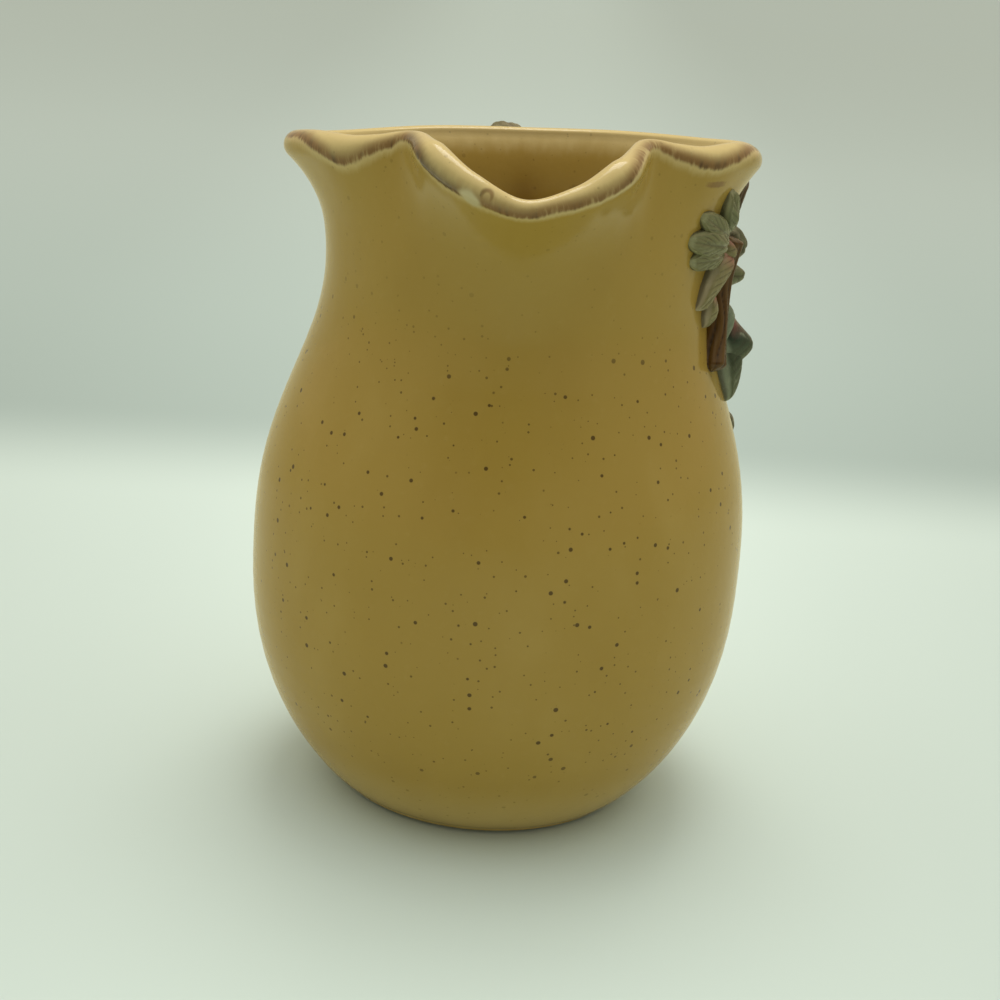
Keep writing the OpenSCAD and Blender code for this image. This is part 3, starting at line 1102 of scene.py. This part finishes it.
@dataclass
class Stem(Piece):
    """A rounded stem laid on the wall along a path.

    Attributes:
        sprig: where the relief lies.
        path: guiding points of its curve, along and height.
        height: how far it stands off the wall.
        taper: share of its size that it loses on the way.
        seed: which unevenness its bark has.
        end_l: over what length each end is rounded off.
        girth: its mean radius, for the bark.
    """

    sprig: Sprig = field(default_factory=Sprig)
    path: Sequence[tuple[float, float]] = ()
    width: float = 6
    height: float = 4.5
    taper: float = 0.0
    seed: int = 21
    rings: int = 130
    sides: int = 56
    end_l: float = 1.6
    girth: float = 3

    def lofts(self) -> list[Loft]:
        """The stem's skin: a bead on the wall with bark grooves, rounded off at both ends.

        Returns:
            The one skin.
        """
        t = np.linspace(0, 1, self.rings)[:, None]
        a = np.radians(np.arange(self.sides) * 360 / self.sides)[None]
        middle, way = curve(self.path, t[:, 0])
        length = float(np.linalg.norm(np.diff(middle, axis=0), axis=1).sum())
        short = np.clip(1 - np.minimum(t, 1 - t) * length / self.end_l, 0, 1)
        ends = np.sqrt(np.clip(1 - short**2, 0.02, 1))
        knots = 1 + 0.05 * wander(t * length / 5, 0 * a, seed=self.seed)
        size = knots * (1 - self.taper * t) * ends
        bend = a + 0.5 * t + 0.2 * wander(a, t * length / 6, seed=self.seed + 1)
        groove = np.clip(1 - np.abs(np.sin(5.5 * bend)) ** 0.6, 0, 1)
        lift = 0.1 - 0.45 * groove * ends
        over = np.cos(a)
        across = np.sin(a) * (self.width / 2 * size + lift)
        height = np.where(over > 0, over * (self.height * size + lift), over * 1.2)
        along = middle[:, :1] + way[:, 1:] * across
        z = middle[:, 1:] - way[:, :1] * across
        rings = self.sprig.lay(along, z, height)
        place = bark_place(a, self.girth, length * t)
        return [Loft(rings, {"groove": groove, "bark_place": place})]


# ---------- leaves


@dataclass(frozen=True)
class LeafGlaze(Finish):
    """A leaf's glaze: a middle colour, a tinted root and tip, dark ribs and pale worn edges.

    Attributes:
        root_full, root_span: where the root's colour starts to fade and ends, 0 to 1.
    """

    middle: Tone = (110, 110, 68)
    root: Tone = (132, 84, 66)
    tip: Tone = (118, 116, 76)
    edge: Tone = (156, 156, 114)
    vein: Tone = (48, 40, 24)
    root_span: float = 0.25
    root_full: float = 0.0

    def look(self, nodes: Nodes) -> tuple[Channel, Channel | float, Channel]:
        """The leaf's colour, roughness and small relief.

        Args:
            nodes: the tree to build in.

        Returns:
            The three channels.
        """
        place = nodes.place("leaf_place")
        brushed = nodes.noise(nodes.stretch(place, (1, 0.35, 1)), 1.7, 3)
        clouds = nodes.noise(place, 5.5, 2)
        along = nodes.mark("leaf_along") + clouds * 0.06
        edge = nodes.mark("leaf_edge") + brushed * 0.12
        colour = nodes.coats(
            self.middle,
            (self.tip, along.rise(0.5, 1.0)),
            (self.root, along.rise(self.root_span, self.root_full) * 0.9),
            (self.vein, nodes.mark("leaf_vein") * 0.85),
            (self.vein, brushed.rise(0.2, 1.6) * 0.4),
            (self.edge, brushed.rise(-0.3, -1.3) * 0.5),
            (self.edge, edge.rise(0.3, 1.0) * 0.75),
            # Dark glaze where each leaf meets the wall, deepened as painted shade under its edge.
            (self.vein, nodes.mark("leaf_foot_glaze_and_shade") * 0.6),
        )
        return colour, brushed.rise(-1, 1) * 0.1 + 0.2, brushed * 0.25


@dataclass(frozen=True)
class Petal:
    """One lobe of a leaf, or a plain leaf. Places and lengths are shares of the sprig's length.

    Attributes:
        along: place round the wall from the branch, towards the handle.
        drop: place down from the branch's top.
        heading: 0 up, 90 to the handle, 180 down, in degrees.
        length: its length.
        width: its width.
        bend: how far its tip bends sideways.
        crown: how full it is, as a share of the fullest leaf.
        widest: place of its widest part; 1 is the middle, less is nearer the root.
        point: 0.5 for a round tip, 1 for a pointed one.
        fold: depth of its midrib, in millimetres.
        peak: place of its fullest part.
        worn: how far its pale edge covers it, 0 to 1.
        start: where its colours begin, between root and tip; 0 is the root's own.
    """

    along: float
    drop: float
    heading: float
    length: float
    width: float
    bend: float = 0.0
    crown: float = 0.5
    widest: float = 1.0
    point: float = 0.62
    fold: float = 0.7
    peak: float = 0.48
    worn: float = 0.0
    start: float = 0.0


@dataclass
class Leaf(Piece):
    """One modelled leaf on the wall, made of one petal or more.

    Attributes:
        crown_h, edge_h: how far the fullest leaf and a leaf's edge stand off the wall.
        sunk: how far its back lies in the wall.
        vein_gap, vein_h: how far apart the veins are, and how deep.
        rows, across: rows of points from root to tip, and points in a row.
    """

    sprig: Sprig = field(default_factory=Sprig)
    petals: tuple[Petal, ...] = ()
    crown_h: float = 12.5
    edge_h: float = 2.2
    sunk: float = 1.0
    vein_gap: float = 3.0
    vein_h: float = 0.32
    seed: int = 31
    rows: int = 72
    across: int = 41

    def lofts(self) -> list[Loft]:
        """Every petal's skin."""
        return [self.petal(petal, self.seed + 7 * i) for i, petal in enumerate(self.petals)]

    def petal(self, petal: Petal, seed: int) -> Loft:
        """A petal's skin: a domed top with a midrib and veins, and a back sunk in the wall.

        Args:
            petal: its shape.
            seed: which unevenness it has.

        Returns:
            The closed skin.
        """
        span = self.sprig.length
        u = (1 - np.cos(np.linspace(0.06, math.pi - 0.06, self.rows)[:, None])) / 2
        v = np.sin(np.linspace(-math.pi / 2, math.pi / 2, self.across))[None]
        rag = 1 + 0.05 * wander(u * 16, np.sign(v) * 2, seed=seed)
        half = petal.width / 2 * np.sin(math.pi * u**petal.widest) ** petal.point * rag
        f, g = petal.length * u, petal.bend * u**2 + v * half
        hump = u ** (math.log(0.48) / math.log(petal.peak))
        swell = 0.4 + 0.6 * np.sin(np.radians(15 + 155 * hump)) ** 2
        full = np.maximum(self.crown_h * petal.crown * swell - self.edge_h, 0.3)
        side = np.clip(np.abs(v), 0, 1)
        margin = np.sqrt(np.clip(1 - np.clip((side - 0.72) / 0.28, 0, 1) ** 2, 0, 1))
        ends = np.sqrt(np.clip(1 - np.abs(2 * u - 1) ** 7, 0, 1))
        fold = petal.fold * bump(v / 0.12) * (1 - 0.5 * u)
        phase = (u - 0.3 * side) * petal.length * span / self.vein_gap + 0.25 * np.sign(v)
        vein = np.clip(1 - np.abs(phase - np.round(phase)) / 0.16, 0, 1)
        vein = vein * eased(side / 0.2) * eased((0.95 - side) / 0.3) * eased((1 - u) / 0.2)
        curl = 0.35 * bump((side - 0.8) / 0.12)
        waves = 0.3 * wander(u * 9, v * 3, seed=seed + 1)
        top = self.edge_h * margin + full * np.clip(1 - v**2, 0, 1) ** 0.85
        top = top + (curl - fold - self.vein_h * vein + waves * (1 - v**2)) * ends
        height = (top + self.sunk) * ends - self.sunk
        head = math.radians(petal.heading)
        along = span * (petal.along + f * math.sin(head) + g * math.cos(head))
        z = self.sprig.top_z - span * (petal.drop - f * math.cos(head) + g * math.sin(head))

        def loop(over: Array) -> Array:
            """Closes a row over the top with one over the back."""
            over = over + 0 * height
            return np.concatenate([over, over[:, ::-1][:, 1:-1]], 1)

        closed = loop(height)
        closed[:, self.across :] = -self.sunk
        rings = self.sprig.lay(loop(along), loop(z), closed)
        rim = np.maximum(eased((side - 0.76) / 0.2), eased((0.16 - ends * 0.16 + u - 0.9) / 0.2))
        marks = {
            "leaf_along": loop(petal.start + (1 - petal.start) * u),
            "leaf_edge": loop(np.maximum(rim, petal.worn)),
            # Where the leaf meets the wall: dark glaze there, and painted shade under its edge.
            "leaf_foot_glaze_and_shade": loop(eased((side - 0.95) / 0.045)),
            "leaf_vein": loop(np.clip(0.7 * vein + bump(v / 0.09) * (1 - 0.7 * u), 0, 1)),
            "leaf_place": np.stack([loop(g) * span, loop(f) * span, closed], -1),
        }
        return Loft(rings, marks)


class Glazes:
    """The finishes of the pitcher, by what they are on."""

    honey = HoneyGlaze("honey_glaze", "glaze", gloss=1.38, depth=0.12)
    handle = Bark("handle_bark", "bark", gloss=1.33, depth=0.25)
    twig = Bark("twig_bark", "bark", depth=0.2, dark=(40, 26, 14), middle=(70, 50, 26))
    branch = Bark(
        "branch_bark", "stem", depth=0.25, dark=(40, 24, 6), middle=(82, 55, 16), pale=(108, 80, 30)
    )
    grey_leaf = LeafGlaze("grey_leaf", "leaf_light")
    slate_leaf = LeafGlaze("slate_leaf", "leaf_light", middle=(112, 116, 78), root_span=0.2)
    pink_leaf = LeafGlaze(
        "pink_leaf", "leaf_light", middle=(134, 126, 82), root=(168, 86, 78), tip=(134, 126, 82),
        edge=(176, 164, 130), root_span=0.45,
    )
    olive_leaf = LeafGlaze(
        "olive_leaf", "leaf_light", middle=(98, 102, 64), root=(84, 72, 42), root_span=0.15
    )
    brown_leaf = LeafGlaze(
        "brown_leaf", "leaf_dark", middle=(78, 84, 54), root=(66, 60, 34), tip=(90, 88, 58),
        edge=(134, 134, 100),
    )  # fmt: skip
    teal_leaf = LeafGlaze(
        "teal_leaf", "leaf_dark", middle=(34, 56, 40), root=(136, 58, 54), tip=(86, 94, 62),
        edge=(146, 156, 126), root_span=0.6, root_full=0.3,
    )  # fmt: skip
    moss_leaf = LeafGlaze(
        "moss_leaf", "leaf_dark", middle=(84, 82, 56), root=(70, 56, 38), tip=(96, 90, 64)
    )


class LeafKind(Enum):
    """Each leaf's glaze and petals, by the name of its CAD solid."""

    upright_leaf = Glazes.slate_leaf, (
        Petal(-0.19, 0.00, -30, 0.44, 0.17, 0.03, 0.38, 1.0, 0.42, 0.5),
    )
    side_leaf = Glazes.grey_leaf, (
        Petal(-0.15, 0.02, -67, 0.59, 0.19, 0.03, 0.36, 1.15, 0.42, 0.6),
        Petal(-0.15, 0.05, -98, 0.56, 0.21, 0.02, 0.38, 1.15, 0.42, 0.6),
        Petal(-0.14, 0.03, -82, 0.63, 0.23, 0.00, 0.43, 1.20, 0.40, 0.8),
    )
    front_leaf = Glazes.pink_leaf, (
        Petal(-0.14, 0.05, 216, 0.58, 0.19, 0.03, 0.54, 0.90, 0.5, 0.8, 0.3),
        Petal(-0.17, -0.02, 196, 0.20, 0.08, 0.00, 0.56, 0.95, 0.5, 0.3),
    )
    small_leaf = Glazes.pink_leaf, (
        Petal(-0.28, 0.38, 192, 0.29, 0.12, 0.01, 0.38, 0.95, 0.6, 0.4),
    )
    back_leaf = Glazes.brown_leaf, (
        Petal(0.04, 0.10, 92, 0.36, 0.34, 0.02, 0.74, 0.85, 0.45, 0.5, 0.4),
    )
    round_leaf = Glazes.olive_leaf, (
        Petal(0.04, 0.33, 94, 0.28, 0.22, 0.00, 0.82, 1.00, 0.5, 0.3),
    )
    pendant_leaf = Glazes.teal_leaf, (
        Petal(0.12, 0.43, 181, 0.69, 0.32, 0.02, 1.04, 0.95, 0.6, 1.0, 0.72),
        Petal(0.08, 0.78, 185, 0.54, 0.20, -0.02, 0.70, 0.90, 0.55, 0.8, 0.4, 0, 0.5),
        Petal(-0.01, 0.42, 188, 0.50, 0.11, -0.03, 0.62, 1.00, 0.5, 0.3, 0.5, 0.8, 0.5),
    )
    low_leaf = Glazes.moss_leaf, (
        Petal(0.66, 1.56, 172, 0.33, 0.20, -0.02, 0.40, 0.80),
    )
    twig_leaf_a = Glazes.grey_leaf, (
        Petal(0.95, -0.21, 165, 0.50, 0.30, 0.04, 0.58, 0.85, 0.7, 0.8),
    )
    twig_leaf_b = Glazes.teal_leaf, (
        Petal(1.53, -0.08, 178, 0.48, 0.28, -0.04, 0.58, 0.85, 0.7, 0.8),
    )


@dataclass
class Pitcher:
    """All the pieces of the pitcher.

    Attributes:
        twig_rise: how far the twig's curve draws up over the branch's top.
        twig_stop: how far from the handle's middle the twig ends, round the neck.
        materials: the materials made so far, by name.
    """

    form: Form = field(default_factory=Form)
    twig_rise: float = 20
    twig_stop: float = 10.8
    materials: dict[str, bpy.types.Material] = field(default_factory=dict)

    def stems(self, sprig: Sprig) -> list[Stem]:
        """The hanging branch and the twig that runs to the handle.

        Args:
            sprig: where the relief lies.

        Returns:
            The two stems.
        """
        length, top = sprig.length, sprig.top_z
        lean, start, draw = -0.29 * length, 0.42 * length, 0.67 * length
        end = math.radians(Handle.azimuth - sprig.turn) * self.form.neck_r - self.twig_stop
        above, crest = 0.05 * length, top + self.twig_rise
        bend = (lean / 3, top - length * 2 / 3)
        hang = [(0, top), (0, top - length / 3), bend, (lean, top - length)]
        run = [(start, top + above), (start, crest), (draw, crest), (end, top - above)]
        return [
            Stem("branch", Glazes.branch, sprig, hang, 7.5, 7, 0.25, 25, 90),
            Stem("twig", Glazes.twig, sprig, run, 6, 4.5, 0, 21, 170),
        ]

    def pieces(self) -> list[Piece]:
        """Every piece.

        Returns:
            The body, the handle, the stems and the leaves.
        """
        sprig = Sprig(self.form)
        leaves = [
            Leaf(kind.name, kind.value[0], sprig, kind.value[1], seed=40 + 3 * number)
            for number, kind in enumerate(LeafKind)
        ]
        body = Body("body", Glazes.honey, self.form)
        handle = Handle("handle", Glazes.handle, self.form)
        return [body, handle, *self.stems(sprig), *leaves]

    def build(self) -> None:
        """Adds every piece."""
        for piece in self.pieces():
            piece.add(self.materials)


# ---------- camera, light and table


@dataclass(frozen=True)
class Studio:
    """The pale table, the light tent round it and the camera.

    Attributes:
        table, backdrop, far_wall: the ground's colours, nearer to farther.
        wall_shown: what the camera sees past the ground.
        mirrored, warm_day: the ground's and the tent's colours in the glaze.
        ground: half the side of the ground, in metres, as eye and aim are.
        pan, tilt, roll: how far the camera looks left and down, and leans, in degrees.
    """

    table: Tone = (212, 226, 213)
    backdrop: Tone = (170, 185, 175)
    far_wall: Tone = (187, 200, 190)
    wall_shown: Tone = (190, 200, 186)
    mirrored: Tone = (196, 186, 132)
    day: Tone = (255, 255, 252)
    warm_day: Tone = (255, 232, 190)
    ground: float = 12.0
    lens: float = 67.32
    eye: Triple = (0.0, -0.600, 0.309)
    pan: float = 0.02
    tilt: float = 19.29
    roll: float = 4.47
    aim: Triple = (0, 0, 0.1)

    def camera(self) -> None:
        """Sets the camera where the photo's was."""
        data = bpy.data.cameras.new("camera")
        data.lens, data.sensor_width = self.lens, 36
        data.clip_start, data.clip_end = 0.01, 100
        eye = placed("camera", data)
        turns = [(self.pan, "Z"), (90 - self.tilt, "X"), (self.roll, "Z")]
        place = Matrix.Translation(self.eye)
        for degrees, axis in turns:
            place = place @ Matrix.Rotation(math.radians(degrees), 4, axis)
        eye.matrix_world = place
        bpy.context.scene.camera = eye

    def ground_look(self, nodes: Nodes) -> dict[str, object]:
        """The table's look, which fades into the backdrop's behind the pitcher and has painted
        shade towards its sides.

        Args:
            nodes: the tree to build in.

        Returns:
            What feeds the shader, by the names of its sockets.
        """
        place = nodes.node("ShaderNodeTexCoord", output="Object")
        across, back, _ = nodes.parts(place)
        back = back - across * 0.04 + nodes.noise(place, 0.9, 1) * 0.006
        behind = nodes.coats(self.backdrop, (self.far_wall, back.rise(0.35, 1.5)))
        sides = abs(across)
        # Painted shade: the ground darkens towards its left and right sides.
        dim = sides.rise(0.0, 0.17) * back.rise(0.7, 0.1) * 0.12 + sides.rise(0.05, 0.35) * 0.14
        glossy = nodes.ray("Is Glossy Ray")
        colour = nodes.coats(
            self.table,
            (behind, back.rise(0.252, 0.402)),
            # Painted shade towards the sides.
            ((0, 0, 0), dim),
            (self.mirrored, glossy * 0.6),
        )
        return {"Base Color": colour, "Roughness": 0.6, "Specular IOR Level": 0.25}

    def floor(self) -> None:
        """Lays the ground, the table and the backdrop in one."""
        mesh = bpy.data.meshes.new("table")
        ends = [(-1, -1), (1, -1), (1, 1), (-1, 1)]
        mesh.from_pydata([(x * self.ground, y * self.ground, 0) for x, y in ends], [], [range(4)])
        mesh.materials.append(paint("table", self.ground_look))
        placed("table", mesh)

    def sky(self) -> None:
        """Makes the tent: brightest above, dim where the camera looks in, warm in reflections."""
        world = bpy.data.worlds.new("tent")
        world.use_nodes = True
        bpy.context.scene.world = world
        nodes = Nodes(world.node_tree)
        x, y, z = nodes.parts(nodes.node("ShaderNodeTexCoord", output="Generated"))
        turn = abs(nodes.maths("ARCTAN2", x, 0 - y))
        rise = nodes.maths("ARCSINE", z)
        opening = turn.rise(0.34, 0.18) * rise.rise(-0.1, 0.02) * rise.rise(0.5, 0.34)
        wide = turn.rise(0.95, 0.4) * rise.rise(-0.1, 0.05) * rise.rise(0.8, 0.45)
        mid_front = turn.rise(1.8, 0.7) * rise.rise(0.2, 0.5) * rise.rise(1.4, 1.05)
        glossy = nodes.ray("Is Glossy Ray")
        above = 0.62 + rise.rise(0.35, 1.2) * 0.95
        level = above - mid_front * 0.44 - opening * 0.16 - wide * 0.14
        colour = nodes.coats(self.day, (self.warm_day, glossy))
        tent = nodes.node("ShaderNodeBackground", {}, {"Color": colour, "Strength": level})
        wall = nodes.node("ShaderNodeBackground", {}, {"Color": linear(self.wall_shown)})
        seen = nodes.ray("Is Camera Ray")
        both = nodes.node("ShaderNodeMixShader", {}, {0: seen, 1: tent, 2: wall})
        nodes.end("ShaderNodeOutputWorld", both)

    def lamp(self, name: str, place: Triple, size: float, power: float) -> None:
        """Adds a soft square lamp that looks at the pitcher.

        Args:
            name: its name.
            place, size: where it hangs and its side, in metres.
            power: in watts.
        """
        data = bpy.data.lights.new(name, "AREA")
        data.shape, data.size, data.energy = "SQUARE", size, power
        away = np.array(place) - np.array(self.aim)
        heading = math.atan2(away[0], -away[1])
        tilt = math.acos(away[2] / float(np.linalg.norm(away)))
        turn = Matrix.Rotation(heading, 4, "Z") @ Matrix.Rotation(tilt, 4, "X")
        placed(name, data).matrix_world = Matrix.Translation(place) @ turn

    def build(self) -> None:
        """Sets everything up, with colours shown as they are."""
        bpy.context.scene.view_settings.view_transform = "Standard"
        self.camera()
        self.floor()
        self.sky()
        self.lamp("top_lamp", (0.05, 0.5, 1.5), 0.8, 8)


def main() -> None:
    """Builds the looks in the loaded frame."""
    logging.basicConfig(level=logging.INFO, format="%(name)s: %(message)s")
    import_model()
    Pitcher().build()
    Studio().build()


if __name__ == "__main__":
    main()
